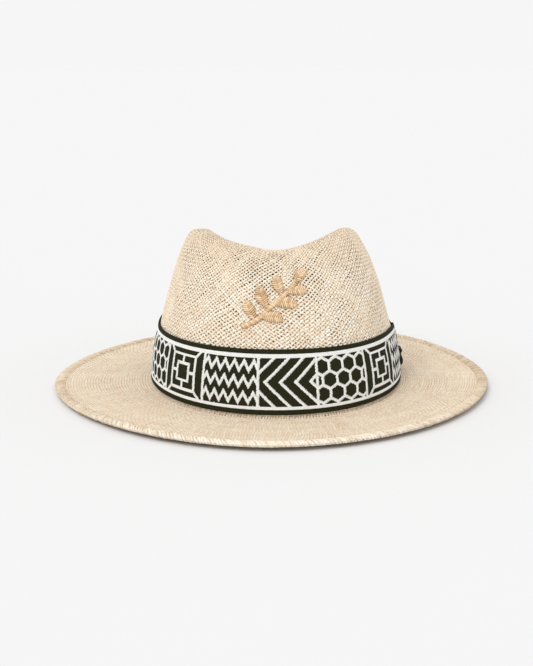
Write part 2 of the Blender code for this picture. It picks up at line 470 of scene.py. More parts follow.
def corner_rows(degrees):
    """Rows of the rounded corner from the crown's foot down to the brim."""
    foot, edge, out = brim_frame(degrees)
    high = foot_height(degrees)
    near = foot + up(high + FOOT_ROUND)
    return np.array([near, foot + out * FOOT_ROUND * 0.3 + up(high + FOOT_ROUND * 0.3)])


def even_rows(rows, count):
    """The same surface with its rows at even distances along each column."""
    steps = np.linalg.norm(np.diff(rows, axis=0), axis=-1)
    lengths = np.concatenate([np.zeros((1, rows.shape[1])), np.cumsum(steps, axis=0)])
    even = np.empty((count, rows.shape[1], 3))
    for column in range(rows.shape[1]):
        wanted = np.linspace(0.0, lengths[-1, column], count)
        for axis in range(3):
            even[:, column, axis] = np.interp(wanted, lengths[:, column], rows[:, column, axis])
    return even, lengths[-1]


def grid_normals(grid):
    """Unit normals of a grid, away from the head."""
    along = np.gradient(grid, axis=0)
    across = np.roll(grid, -1, axis=1) - np.roll(grid, 1, axis=1)
    normal = np.cross(along, across)
    size = np.linalg.norm(normal, axis=2, keepdims=True)
    normal = np.where(size > 1e-14, normal / np.maximum(size, 1e-14), (0.0, 0.0, 1.0))
    return normal


class Surface:
    """A dense grid of the hat's surface, read at any share of its rows and of a turn."""

    def __init__(self, rows, count):
        self.points, self.lengths = even_rows(rows, count)
        self.normals = grid_normals(self.points)
        ring = np.linalg.norm(np.roll(self.points, -1, axis=1) - self.points, axis=2)
        self.girths = ring.sum(axis=1)

    def mix(self, grid, share, turn):
        row = np.clip(share, 0.0, 1.0) * (len(grid) - 1)
        column = turn % 1.0 * grid.shape[1]
        low = np.minimum(row.astype(int), len(grid) - 2)
        left = column.astype(int) % grid.shape[1]
        right = (left + 1) % grid.shape[1]
        v = (row - low)[..., None]
        u = (column - np.floor(column))[..., None]
        near = grid[low, left] * (1 - u) + grid[low, right] * u
        far = grid[low + 1, left] * (1 - u) + grid[low + 1, right] * u
        return near * (1 - v) + far * v

    def at(self, share, turn, lift):
        """Points a given lift over the surface, and the normals there."""
        share, turn, lift = np.broadcast_arrays(share, turn, lift)
        normal = self.mix(self.normals, share, turn)
        normal /= np.linalg.norm(normal, axis=-1, keepdims=True)
        return self.mix(self.points, share, turn) + normal * lift[..., None], normal

    def girth(self, share):
        return np.interp(share, np.linspace(0.0, 1.0, len(self.girths)), self.girths)

    def length(self, turn):
        places = np.arange(len(self.lengths) + 1) / len(self.lengths)
        return np.interp(turn % 1.0, places, np.append(self.lengths, self.lengths[0]))


def even_directions(count):
    """Directions at even steps of the way around the crown's foot, from the back."""
    fine = np.linspace(-270.0, 90.0, 7201)
    x, y = foot_point(fine, 1, 1, 1, 1)
    length = np.concatenate([[0.0], np.cumsum(np.hypot(np.diff(x), np.diff(y)))])
    wanted = np.arange(count) / count * length[-1]
    return np.interp(wanted, length, fine)


def direction_at(turn):
    """Direction in degrees at a share of the way around the crown."""
    places = np.arange(GRID_TURNS + 1) / GRID_TURNS
    return np.interp(turn % 1.0, places, np.append(DIRECTIONS, DIRECTIONS[0] + 360.0))


def turn_at(degrees):
    """Share of the way around the crown at a direction in degrees."""
    wanted = (np.asarray(degrees, float) + 270.0) % 360.0 - 270.0
    places = np.arange(GRID_TURNS + 1) / GRID_TURNS
    return np.interp(wanted, np.append(DIRECTIONS, DIRECTIONS[0] + 360.0), places)


DIRECTIONS = even_directions(GRID_TURNS)
CROWN = Surface(ease(crown_rows(DIRECTIONS), 10), GRID_ROWS)
BRIM_GRID = np.concatenate([corner_rows(DIRECTIONS), ease(brim_rows(DIRECTIONS), 10)])
BRIM_TOP = Surface(BRIM_GRID, GRID_ROWS)


def unit(vectors):
    size = np.linalg.norm(vectors, axis=-1, keepdims=True)
    return vectors / np.maximum(size, 1e-12)


def drift(straws, rings, every):
    """Slow random drift along each straw, of about unit size."""
    knots = chance.normal(size=(straws, int(rings / every) + 3))
    at = np.arange(rings) / every
    low = at.astype(int)
    share = at - low
    share = share * share * (3 - 2 * share)
    return knots[:, low] * (1 - share) + knots[:, low + 1] * share


def strands(centres, normals, half_width, half_thick, tone, closed=False):
    """Flat pointed straws, all with as many rings: points, faces and texture runs."""
    count, rings = centres.shape[:2]
    if closed:
        along = unit(np.roll(centres, -1, axis=1) - np.roll(centres, 1, axis=1))
    else:
        along = unit(np.gradient(centres, axis=1))
    side = unit(np.cross(along, normals))
    top = np.cross(side, along)
    half_width = np.broadcast_to(half_width, (count, rings))[..., None]
    half_thick = np.broadcast_to(half_thick, (count, rings))[..., None]
    corners = [
        centres + side * half_width,
        centres + top * half_thick,
        centres - side * half_width,
        centres - top * half_thick,
    ]
    points = np.stack(corners, axis=2).reshape(-1, 3)
    steps = np.linalg.norm(np.diff(centres, axis=1), axis=-1)
    way = np.concatenate([np.zeros((count, 1)), np.cumsum(steps, axis=1)], axis=1)
    runs = np.zeros((count, rings, 4, 3))
    runs[..., 0] = way[..., None]
    runs[..., 1] = np.array([1.0, 0.5, 0.0, -0.5])
    tone = np.broadcast_to(tone, (count, rings) if np.ndim(tone) == 2 else (count,))
    runs[..., 2] = tone.reshape(count, -1, 1)
    first = (np.arange(count) * rings * 4)[:, None, None]
    last = rings if closed else rings - 1
    ring = (np.arange(last) * 4)[None, :, None]
    after = ((np.arange(last) + 1) % rings * 4)[None, :, None]
    corner = np.arange(4)[None, None, :]
    beside = (corner + 1) % 4
    quads = [first + ring + corner, first + after + corner]
    quads += [first + after + beside, first + ring + beside]
    faces = [np.stack(np.broadcast_arrays(*quads), axis=-1).reshape(-1, 4)]
    if not closed:
        start = first[:, 0, :] + np.arange(4)
        finish = first[:, 0, :] + (rings - 1) * 4 + np.arange(4)[::-1]
        faces += [start, finish]
    return points, np.concatenate(faces), runs.reshape(-1, 3)


def make_piece(name, bundles, material):
    """One mesh object from several bundles of points, faces and texture runs."""
    points = np.concatenate([bundle[0] for bundle in bundles])
    runs = np.concatenate([bundle[2] for bundle in bundles])
    offsets = np.cumsum([0] + [len(bundle[0]) for bundle in bundles[:-1]])
    faces = np.concatenate([b[1] + start for b, start in zip(bundles, offsets)]).astype(np.int32)
    mesh = bpy.data.meshes.new(name)
    mesh.vertices.add(len(points))
    mesh.vertices.foreach_set("co", points.astype(np.float32).ravel())
    mesh.loops.add(faces.size)
    mesh.loops.foreach_set("vertex_index", faces.ravel())
    mesh.polygons.add(len(faces))
    mesh.polygons.foreach_set("loop_start", np.arange(0, faces.size, 4, dtype=np.int32))
    mesh.update(calc_edges=True)
    mesh.validate()
    mesh.shade_smooth()
    attribute = mesh.attributes.new("run", "FLOAT_VECTOR", "POINT")
    attribute.data.foreach_set("vector", runs.astype(np.float32).ravel())
    mesh.materials.append(material)
    piece = bpy.data.objects.new(name, mesh)
    bpy.context.scene.collection.objects.link(piece)
    return piece


def dress(piece, slot, *nodes):
    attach(piece, "root")
    if nodes:
        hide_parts(*nodes)
    return piece


def unevenness(share, turn):
    """Slow shifts of the weave, in rows and around, as shares of a cell."""
    shift_row = np.zeros_like(share + turn)
    shift_turn = np.zeros_like(share + turn)
    for waves, rows, size, start in WEAVE_SHIFTS:
        wave = 2 * math.pi * (waves * turn + rows * share + start)
        shift_row += size * np.sin(wave)
        shift_turn += size * np.cos(wave + start * 9.0)
    return shift_row, shift_turn


def crown_openness(share, turn):
    """Narrower straws leave small holes on the front of the crown, up to its upper edge."""
    front = np.exp(-((direction_at(turn) + 90.0) / 54.0) ** 2)
    below_rim = np.clip((share - 0.30) / 0.10, 0.0, 1.0)
    upper = np.clip((0.70 - share) / 0.16, 0.0, 1.0)
    shift_row, shift_turn = unevenness(share * 1.7, turn * 2.0)
    holes = HOLES_LOW + HOLES_HIGH * upper + HOLES_UNEVEN * (shift_row + shift_turn)
    return CLOSED_WEAVE - front * below_rim * holes


def weave_crown(zone, lean, width):
    """Straws of one zone of the crown that all lean the same way."""
    count, first, last = zone
    below = np.arange(first, min(RIBBON_HIDES_ROWS, last) - 1.0, 2.0)
    above = np.arange(max(first, RIBBON_HIDES_ROWS), last + 0.01, 0.5)
    rows = np.concatenate([below, above])[None, :]
    rings = rows.shape[1]
    straw = np.arange(count)[:, None]
    loose_turn = drift(count, rings, 7) * DRIFT_AROUND
    loose_row = drift(count, rings, 9) * DRIFT_ALONG
    share = 1.0 - rows / CROWN_ROWS
    turn = (straw + lean * rows / 2) / count
    shift_row, shift_turn = unevenness(share, turn)
    calm_middle = np.minimum(1.0, (CROWN_ROWS - rows) / 40.0)
    calm_foot = np.minimum(1.0, rows / 10.0)
    turn = turn + (loose_turn + shift_turn * calm_middle) / count
    share = share - (loose_row + shift_row) / CROWN_ROWS * calm_foot
    share = np.clip(share, 0.002, 0.998)
    lift = lean * STRAW_LIFT * np.cos(math.pi * rows)
    ends = np.minimum(np.abs(rows - rows[0, 0]), np.abs(rows - rows[0, -1]))
    lift = lift - 0.35 * MM * np.clip(1.0 - ends, 0.0, 1.0)
    cell = CROWN.girth(share) / count
    pitch = CROWN.length(turn) / CROWN_ROWS
    room = cell * pitch / np.hypot(cell / 2, pitch)
    wide = width * (1.0 + chance.normal(size=(count, 1)) * 0.05)
    wide = wide * (1.0 + drift(count, rings, 2.5) * DRIFT_WIDTH)
    wide = wide * crown_openness(share, turn)
    wide = np.clip(wide, STRAW_LEAST, np.maximum(room * 0.98, STRAW_LEAST))
    centres, normals = CROWN.at(share, turn, lift - STRAW / 2)
    thick = STRAW_HALF_THICK * np.clip(0.6 + ends * 0.4, 0.5, 1.0)
    # Painted shade: the tone is pushed lower toward the top of the crown and on its sides
    top = np.clip((0.56 - share) / 0.22, 0.0, 1.0)
    sides = np.clip(np.abs(direction_at(turn) + 90.0) / 70.0 - 0.4, 0.0, 1.0)
    tone = chance.random((count, 1)) - TOP_PAINTED_SHADE * top - SIDES_PAINTED_SHADE * sides
    return strands(centres, normals, wide / 2, thick, tone)


def build_crown(rising, falling):
    names = [("crown_straws_rising", 1, RISING_WIDTH, rising)]
    names.append(("crown_straws_falling", -1, FALLING_WIDTH, falling))
    for name, lean, width, material in names:
        piece = make_piece(name, [weave_crown(CROWN_WALL_ZONE, lean, width)], material)
        dress(piece, "straw", "straw_body")
        bundles = [weave_crown(zone, lean, width) for zone in CROWN_TOP_ZONES]
        piece = make_piece(name.replace("crown", "crown_top"), bundles, material)
        dress(piece, "straw", "straw_body")


def brim_at(way, turn, lift):
    """Points of the brim by their way out, up the wall behind the ribbon where that is below 0."""
    flat, flat_normal = BRIM_TOP.at(np.maximum(way, 0.0), turn, lift)
    climb = np.maximum(-way, 0.0) * BRIM_TOP.length(turn)
    share = 1.0 - climb / CROWN.length(turn)
    wall, wall_normal = CROWN.at(share, turn, lift)
    behind = (way < 0.0)[..., None]
    return np.where(behind, wall, flat), np.where(behind, wall_normal, flat_normal)


def ring_ways(zone):
    count, start, end, rings = zone
    return start + (np.arange(rings) + 0.5) / rings * (end - start)


def brim_wander(way, turn):
    """Slow wander of the brim's weave around, in cells."""
    slow = 0.5 * np.sin(2 * math.pi * (5 * turn + way))
    return slow + 0.3 * np.sin(2 * math.pi * (11 * turn - 2 * way))


def weave_spokes(zone):
    """Straws that run out across one zone of the brim."""
    count, start, end, rings = zone
    ways = ring_ways(zone)
    past = (ways[1] - ways[0]) * 0.45
    inner = SPOKES_BEHIND_RIBBON if start == 0.0 else [start - past]
    ways = np.concatenate([inner, ways, [end + past]])[None, :]
    straw = np.arange(count)[:, None]
    turn = (straw + 0.5 + drift(count, ways.shape[1], 4) * 0.06) / count
    turn = turn + brim_wander(ways, turn) / count
    sign = 1.0 - 2.0 * ((straw + np.arange(ways.shape[1]) - len(inner)) % 2)
    lift = sign * BRIM_LIFT
    lift[:, :len(inner)] = BRIM_END_LIFT
    lift[:, -1] = BRIM_END_LIFT
    ways = ways + drift(count, ways.shape[1], 3) * 0.0015
    centres, normals = brim_at(ways, turn, lift - STRAW / 2)
    room = BRIM_TOP.girth(np.clip(ways, 0, 1)) / count
    wide = BRIM_SPOKE_WIDTH * (1.0 + chance.normal(size=(count, 1)) * 0.06)
    wide = np.minimum(wide, room * 0.99) * brim_closeness(ways, turn)
    return strands(centres, normals, wide / 2, STRAW_HALF_THICK, chance.random(count))


def brim_closeness(way, turn):
    """Straws are a little narrower along the rows where new ones were added."""
    degrees = direction_at(turn)
    narrower = 0.0
    for row, middle, spread, share in ADDED_ROWS:
        near = np.exp(-((way - row) / ADDED_ROW_REACH) ** 2)
        narrower = narrower + share * near * np.exp(-((degrees - middle) / spread) ** 2)
    return 1.0 - narrower


def weave_rings(zone):
    """Straws that run around one zone of the brim, and behind the ribbon on the first."""
    count, start, end, rings = zone
    behind = RINGS_BEHIND_RIBBON if start == 0.0 else []
    ways = np.concatenate([behind, ring_ways(zone)])
    ring = np.arange(len(ways))[:, None] - len(behind)
    ways = ways[:, None]
    straw = np.arange(count)[None, :]
    turn = (straw + 0.5) / count + brim_wander(ways, straw / count) / count
    sign = 1.0 - 2.0 * ((straw + ring + 1) % 2)
    pitch = (end - start) / rings
    wavy = chance.normal(size=(len(ways), count)) * 0.045
    centres, normals = brim_at(ways + wavy * pitch, turn, sign * BRIM_LIFT - STRAW / 2)
    room = pitch * BRIM_TOP.length(turn)
    wide = BRIM_RING_WIDTH * (1.0 + chance.normal(size=(len(ways), 1)) * 0.04)
    wide = np.minimum(wide, room * 1.08) * brim_closeness(ways, turn)
    tone = chance.random(len(ways))
    return strands(centres, normals, wide / 2, STRAW_HALF_THICK, tone, closed=True)


def build_brim(spoke_straw, ring_straw):
    spokes = [weave_spokes(zone) for zone in BRIM_ZONES]
    dress(make_piece("brim_straws_outward", spokes, spoke_straw), "straw", "straw_body")
    rings = [weave_rings(zone) for zone in BRIM_ZONES]
    dress(make_piece("brim_straws_around", rings, ring_straw), "straw", "straw_body")


def hem_section(degrees, inset):
    """Rows around the hem, a given inset under its surface."""
    foot, edge, out = brim_frame(degrees)
    half = HEM_THICK / 2 - inset
    middle = HEM_THICK / 2 + edge_lift(degrees)
    rows = []
    for way, inward, height in HEM_SECTION:
        rows.append(edge - out * (HEM_WIDTH * way + inset * inward) + up(middle + half * height))
    return rows


def loop_of_rows(rows, tone):
    """A closed ring of closed sections as one bundle."""
    grid = np.array(rows)
    count, turns = grid.shape[:2]
    row = np.arange(count)[:, None]
    column = np.arange(turns)[None, :]
    after = (column + 1) % turns
    beside = (row + 1) % count
    quads = [row * turns + column, beside * turns + column]
    quads += [beside * turns + after, row * turns + after]
    faces = np.stack(np.broadcast_arrays(*quads), axis=-1).reshape(-1, 4)
    runs = np.zeros((count, turns, 3))
    steps = np.linalg.norm(np.roll(grid, -1, axis=1) - grid, axis=2)
    runs[..., 0] = np.cumsum(steps, axis=1)
    runs[..., 1] = row / count
    runs[..., 2] = tone
    return grid.reshape(-1, 3), faces, runs.reshape(-1, 3)


def hem_tone(degrees, steps, tone):
    """Tone of the hem's straws, with painted light and shade: lighter in front, darker behind, at
    the left tip and below.
    """
    front = np.exp(-((degrees + 90.0) / 62.0) ** 2)
    left_tip = np.exp(-(degrees / 24.0) ** 2)
    under = np.clip((steps - 0.57) / 0.09, 0.0, 1.0)
    tone = tone * (1.3 - 0.3 * front) + 0.3 * front - HEM_ENDS_PAINTED_SHADE * (1.0 - front)
    return tone - HEM_TIP_PAINTED_SHADE * left_tip - HEM_UNDER_PAINTED_SHADE * under


def build_hem(material, core_material):
    core = loop_of_rows(hem_section(DIRECTIONS[::3], HEM_CORE_INSET), 0.5)
    dress(make_piece("hem_core", [core], core_material), "straw", "straw_body")
    surface = Surface(ease(hem_section(DIRECTIONS, HEM_WRAP_INSET), 4), 60)
    steps = np.linspace(0.0, 1.0, HEM_STEPS)[None, :]
    wrap = np.arange(HEM_WRAPS)[:, None]
    bundles = []
    for lean, raised, width in HEM_LAYERS:
        slack = drift(HEM_WRAPS, HEM_STEPS, 4) * 0.20
        turn = (wrap + lean * HEM_WRAP_LEAN * (steps - 0.3) + slack) / HEM_WRAPS
        degrees = direction_at(turn)
        loose = np.exp(-((degrees - HEM_LOOSE_AT) / 15.0) ** 2)
        wide = HEM_WRAP_WIDTH * width * (1.0 + chance.normal(size=(HEM_WRAPS, 1)) * 0.12)
        wide = wide * (1.0 - 0.45 * loose)
        height = (raised + 0.07 * drift(HEM_WRAPS, HEM_STEPS, 3)) * MM
        centres, normals = surface.at(steps, turn, height)
        tone = hem_tone(degrees, steps, chance.random((HEM_WRAPS, 1)))
        thick = HEM_WRAP_HALF_THICK * np.clip(steps / 0.12, 0.35, 1.0)
        points, faces, runs = strands(centres, normals, wide / 2, thick, tone)
        points[:, 2] = np.maximum(points[:, 2], 0.0)
        bundles.append((points, faces, runs))
    dress(make_piece("hem_wraps", bundles, material), "straw", "straw_body")


def ribbon_width(degrees):
    """Width of the ribbon along the wall, eased at the sides and gathered at the join."""
    turn = (degrees - JOIN_AT + 180.0) % 360.0 - 180.0
    gather = JOIN_GATHER * np.exp(-(turn / JOIN_REACH) ** 2)
    return RIBBON_WIDTH - RIBBON_EASE * np.cos(np.radians(degrees)) ** 2 - gather


def on_ribbon(way, share, lift):
    """Points on the ribbon: share of its length from the join, share of its width, lift."""
    turn = turn_at(JOIN_AT) + way
    climb = CLEARANCE + share * ribbon_width(direction_at(turn))
    from_join = np.minimum(np.abs(way), np.abs(1.0 - way))
    pleat = PLEAT_DEPTH * np.exp(-(from_join / PLEAT_REACH) ** 2)
    pleat = pleat * np.sin(way * 2 * math.pi * PLEATS) ** 2
    over = LAP_LIFT * np.clip((way - LAP_START) / LAP_RAMP, 0.0, 1.0)
    height = CLEARANCE + lift + over + pleat
    return CROWN.at(1.0 - climb / CROWN.length(turn), turn, height)


def ribbon_pattern(along, across):
    """Where white threads show, in millimetres along and across the ribbon."""
    wide = RIBBON_WIDTH / MM
    edge = np.minimum(across, wide - across)
    border = (edge > SELVAGE / MM) & (edge < (SELVAGE + BORDER) / MM)
    panel = ribbon_girth() / MM / PANELS
    place = along / panel + 0.5
    kind = np.floor(place).astype(int) % 4
    x = (place - np.floor(place) - 0.5) * panel
    y = across - wide / 2
    half = PANEL_LINE / 2
    inside = edge > (SELVAGE + BORDER) / MM
    bar = np.abs(np.abs(x) - panel / 2) < half * 0.95
    panels = (chevrons, honeycomb, nested_squares, zigzags)
    drawn = np.select([kind == k for k in range(4)], [draw(x, y, half) for draw in panels], False)
    return border | (inside & (bar | drawn))


def chevrons(x, y, half):
    run = (x - np.abs(y)) % 9.6 - 4.8
    return np.abs(run) / math.sqrt(2.0) < half


def honeycomb(x, y, half):
    size = 10.1
    tall = size * math.sqrt(3.0)
    best = np.full(np.broadcast(x, y).shape, 1e9)
    for shift_x, shift_y in ((0.0, 0.0), (size / 2, tall / 2)):
        dx = (x + shift_x + size / 2) % size - size / 2
        dy = (y + shift_y + tall / 2) % tall - tall / 2
        reach = np.abs(dx)
        for turn in (60.0, 120.0):
            cos, sin = math.cos(math.radians(turn)), math.sin(math.radians(turn))
            reach = np.maximum(reach, np.abs(dx * cos + dy * sin))
        best = np.minimum(best, reach)
    return size / 2 - best < half


def nested_squares(x, y, half):
    reach = np.maximum(np.abs(x), np.abs(y))
    rings = (np.abs(reach - 11.3) < half) | (np.abs(reach - 5.6) < half)
    spokes = (np.abs(np.abs(x) - np.abs(y)) < half * 1.4) & (reach > 11.3)
    cross = (np.minimum(np.abs(x), np.abs(y)) < half) & (reach > 5.6) & (reach < 11.3)
    return rings | spokes | cross


def zigzags(x, y, half):
    tooth = np.abs((x + 3.2) % 6.4 - 3.2) * 1.9 - 3.0
    run = (y - tooth + 5.0) % 10.0 - 5.0
    return np.abs(run) / math.hypot(1.0, 1.9) < half * 0.95


def ribbon_girth():
    return CROWN.girth(1.0 - RIBBON_WIDTH / 2 / CROWN.lengths.mean()) + 2 * math.pi * RIBBON_THICK


def build_ribbon(material):
    """Ribbon cloth, lying around the foot of the crown with its last end over its first."""
    wide = RIBBON_WIDTH / MM
    edges = [(y / wide, share) for y, share in RIBBON_EDGE]
    middle = [(share, RIBBON_MIDDLE) for share in np.linspace(0.1, 0.9, 9)]
    outer = edges + middle + [(1.0 - y, share) for y, share in reversed(edges)]
    ways = np.linspace(*RIBBON_ENDS, RIBBON_COLUMNS)
    rows = [on_ribbon(ways, share, RIBBON_THICK * lift)[0] for share, lift in outer]
    rows += [on_ribbon(ways, share, 0.0)[0] for share, lift in reversed(outer)]
    cloth = make_piece("ribbon_cloth", [open_loft(rows)], material)
    return dress(cloth, "ribbon", "hat_band")


def open_loft(rows):
    """A lofted band of closed sections with flat ends, as one bundle."""
    grid = np.array(rows)
    count, columns = grid.shape[:2]
    row = np.arange(count)[:, None]
    column = np.arange(columns - 1)[None, :]
    beside = (row + 1) % count
    quads = [row * columns + column, row * columns + column + 1]
    quads += [beside * columns + column + 1, beside * columns + column]
    sides = np.stack(np.broadcast_arrays(*quads), axis=-1).reshape(-1, 4)
    near = np.arange(count // 2 - 1)
    far = count - 1 - near
    start = np.stack([near, near + 1, far - 1, far], axis=-1) * columns
    finish = start[:, ::-1] + columns - 1
    runs = np.zeros((count, columns, 3))
    steps = np.linalg.norm(np.diff(grid, axis=1), axis=2)
    runs[:, 1:, 0] = np.cumsum(steps, axis=1)
    heights = np.linalg.norm(grid[:, :1] - grid[:1, :1], axis=2)
    runs[..., 1] = heights
    return outward(grid.reshape(-1, 3), np.concatenate([sides, start, finish]), runs.reshape(-1, 3))


def outward(points, faces, runs):
    """The same closed bundle with its faces pointing out."""
    a, b, c, d = [points[faces[:, k]] for k in range(4)]
    volume = np.einsum("ij,ij->", a, np.cross(b, c)) + np.einsum("ij,ij->", a, np.cross(c, d))
    return points, faces if volume > 0 else faces[:, ::-1], runs


def build_threads(material):
    """White threads that float over the ribbon cloth and draw its pattern."""
    girth = ribbon_girth()
    across = np.arange(SELVAGE + THREAD_PITCH / 2, RIBBON_WIDTH - SELVAGE, THREAD_PITCH)
    along = np.arange(0.0, girth, THREAD_STEP)
    wobble = chance.normal(size=(len(across), 1)) * 0.10
    shown = ribbon_pattern(along[None, :] / MM + wobble, across[:, None] / MM)
    change = np.diff(np.pad(shown, ((0, 0), (1, 1))).astype(int), axis=1)
    row, start = np.nonzero(change == 1)
    finish = np.nonzero(change == -1)[1]
    begin = (start - 0.1 + chance.normal(size=len(row)) * 0.12) * THREAD_STEP / girth
    end = (finish + 0.1 + chance.normal(size=len(row)) * 0.12) * THREAD_STEP / girth
    share = across[row] / RIBBON_WIDTH
    rings = 2 + ((end - begin) * girth / (5.5 * MM)).astype(int)
    bundles = []
    for count in np.unique(rings):
        chosen = rings == count
        steps = np.linspace(0.0, 1.0, count)[None, :]
        ways = begin[chosen][:, None] + (end - begin)[chosen][:, None] * steps
        centres, normals = on_ribbon(ways, share[chosen][:, None], RIBBON_THICK * 0.9)
        tone = chance.random(chosen.sum())
        width = THREAD_PITCH * 0.54
        bundles.append(strands(centres, normals, width, THREAD_HALF_THICK, tone))
    return dress(make_piece("ribbon_threads", bundles, material), "ribbon")


def cord_loop(points, radius):
    """A closed round cord along many points, as one bundle."""
    along = unit(np.roll(points, -1, axis=0) - np.roll(points, 1, axis=0))
    guide = np.zeros_like(points)
    guide[0] = unit(np.cross(along[0], (0.31, 0.52, 0.79)))
    for k in range(1, len(points)):
        guide[k] = unit(guide[k - 1] - along[k] * np.dot(guide[k - 1], along[k]))
    side = np.cross(along, guide)
    angle = np.arange(PLY_SIDES) / PLY_SIDES * 2 * math.pi
    rows = [points + radius * (guide * math.cos(a) + side * math.sin(a)) for a in angle]
    return loop_of_rows(rows, 0.5)


def build_knot(material):
    """Small flat knot of twisted cord, sewn over the ribbon's join."""
    phase = np.arange(KNOT_STEPS) / KNOT_STEPS * 2 * math.pi
    turn = turn_at(JOIN_AT)
    across = KNOT_HALF_WIDE * np.cos(3 * phase + 0.35)
    climb = CLEARANCE + KNOT_CLIMB + KNOT_HALF_TALL * np.cos(2 * phase)
    lift = KNOT_LIFT + KNOT_DEPTH * np.sin(5 * phase + 0.25)
    share = 1.0 - climb / CROWN.length(turn)
    centres, normals = CROWN.at(share, turn + across / CROWN.girth(share), lift)
    along = unit(np.roll(centres, -1, axis=0) - np.roll(centres, 1, axis=0))
    side = np.cross(along, normals)
    out = np.cross(side, along)
    bundles = []
    for start in (0.0, math.pi):
        twist = (phase * KNOT_TWISTS + start)[:, None]
        ply = centres + PLY_OFFSET * (np.cos(twist) * side + np.sin(twist) * out)
        bundles.append(cord_loop(ply, PLY_RADIUS))
    return dress(make_piece("knot_cord", bundles, material), "knot_cord", "band_knot")


def on_front(across, climb, lift):
    """Points on the front of the crown, from metres across and metres up the wall."""
    middle = turn_at(-90.0)
    share = 1.0 - climb / CROWN.length(np.asarray(middle))
    return CROWN.at(share, middle + across / CROWN.girth(share), lift)


def stitches(starts, ends, bulge):
    """Satin stitches from one line of points to another, domed in the middle."""
    steps = np.linspace(0.0, 1.0, 6)
    dome = np.sin(math.pi * np.linspace(0.02, 0.98, 6)) ** 0.6
    flat = starts[:, None, :] * (1 - steps[None, :, None]) + ends[:, None, :] * steps[None, :, None]
    lift = (-0.35 + bulge * dome[None, :] + chance.normal(size=(len(starts), 1)) * 0.07) * MM
    centres, normals = on_front(flat[..., 0] * MM, SPRIG_CLIMB + flat[..., 1] * MM, lift)
    width = STITCH_WIDTH / 2 * (1 + chance.normal(size=(len(starts), 1)) * 0.10)
    return strands(centres, normals, width, STITCH_HALF_THICK, chance.random(len(starts)))


def build_sprig(material):
    """Embroidered leaf sprig in satin stitches."""
    bundles = []
    for x, y, heading, length, width in SPRIG_LEAVES:
        way = np.arange(0.02, 0.97, STITCH_STEP / length)
        cos, sin = math.cos(math.radians(heading)), math.sin(math.radians(heading))
        reach = way * length
        bend = 0.10 * length * np.sin(math.pi * way)
        axis = np.stack([x + cos * reach - sin * bend, y + sin * reach + cos * bend], -1)
        half = width / 2 * np.sin(math.pi * np.clip(way * 0.96 + 0.04, 0, 1)) ** 0.75 + 0.25
        lead = np.array([cos, sin]) * 1.5
        side = np.array([-sin, cos])
        for hand in (1, -1):
            jitter = chance.normal(size=(len(way), 1)) * 0.16
            edge = axis + hand * side * (half[:, None] + jitter)
            edge = edge + lead * (half / (width / 2))[:, None]
            bundles.append(stitches(axis - hand * side * 0.25, edge, 1.05))
    stem = ease(np.array(SPRIG_STEM), 8)
    heading = unit(np.gradient(stem, axis=0))
    side = np.stack([-heading[:, 1], heading[:, 0]], -1)
    lean = heading * 0.55
    bundles.append(stitches(stem + side * 1.25 - lean, stem - side * 1.25 + lean, 1.35))
    return dress(make_piece("crown_sprig", bundles, material), "straw")


def add(tree, kind, inputs, **settings):
    """A node with its settings, and its inputs from numbers, colours or other sockets."""
    made = tree.nodes.new(kind)
    for name, value in settings.items():
        setattr(made, name, value)
    for place, value in inputs.items():
        if isinstance(value, bpy.types.NodeSocket):
            tree.links.new(value, made.inputs[place])
        else:
            made.inputs[place].default_value = value
    return made


def calc(tree, operation, first, second=0.0, third=0.0):
    inputs = {0: first, 1: second, 2: third}
    return add(tree, "ShaderNodeMath", inputs, operation=operation).outputs[0]


def fade(tree, value, low, high, start=0.0, end=1.0):
    inputs = {0: value, 1: low, 2: high, 3: start, 4: end}
    return add(tree, "ShaderNodeMapRange", inputs, clamp=True).outputs[0]


def blend(tree, share, first, second):
    inputs = {0: share, 6: first, 7: second}
    return add(tree, "ShaderNodeMix", inputs, data_type="RGBA").outputs[2]


def grain(tree, places, scales, detail):
    """Noise read at a place made of three values and their scales."""
    scaled = [calc(tree, "MULTIPLY", place, scale) for place, scale in zip(places, scales)]
    place = add(tree, "ShaderNodeCombineXYZ", dict(enumerate(scaled))).outputs[0]
    inputs = {"Vector": place, "Scale": 1.0, "Detail": detail}
    return add(tree, "ShaderNodeTexNoise", inputs).outputs[0]


def read_run(tree):
    """Metres along, place across and random tone, as every thread carries them."""
    run = add(tree, "ShaderNodeAttribute", {}, attribute_name="run").outputs["Vector"]
    return list(add(tree, "ShaderNodeSeparateXYZ", {0: run}).outputs)


def new_group(name, inputs, outputs):
    tree = bpy.data.node_groups.new(name, "ShaderNodeTree")
    for title, kind, value in inputs:
        socket = tree.interface.new_socket(title, in_out="INPUT", socket_type="NodeSocket" + kind)
        socket.default_value = value
    for title, kind in outputs:
        tree.interface.new_socket(title, in_out="OUTPUT", socket_type="NodeSocket" + kind)
    return tree, tree.nodes.new("NodeGroupInput").outputs, tree.nodes.new("NodeGroupOutput").inputs


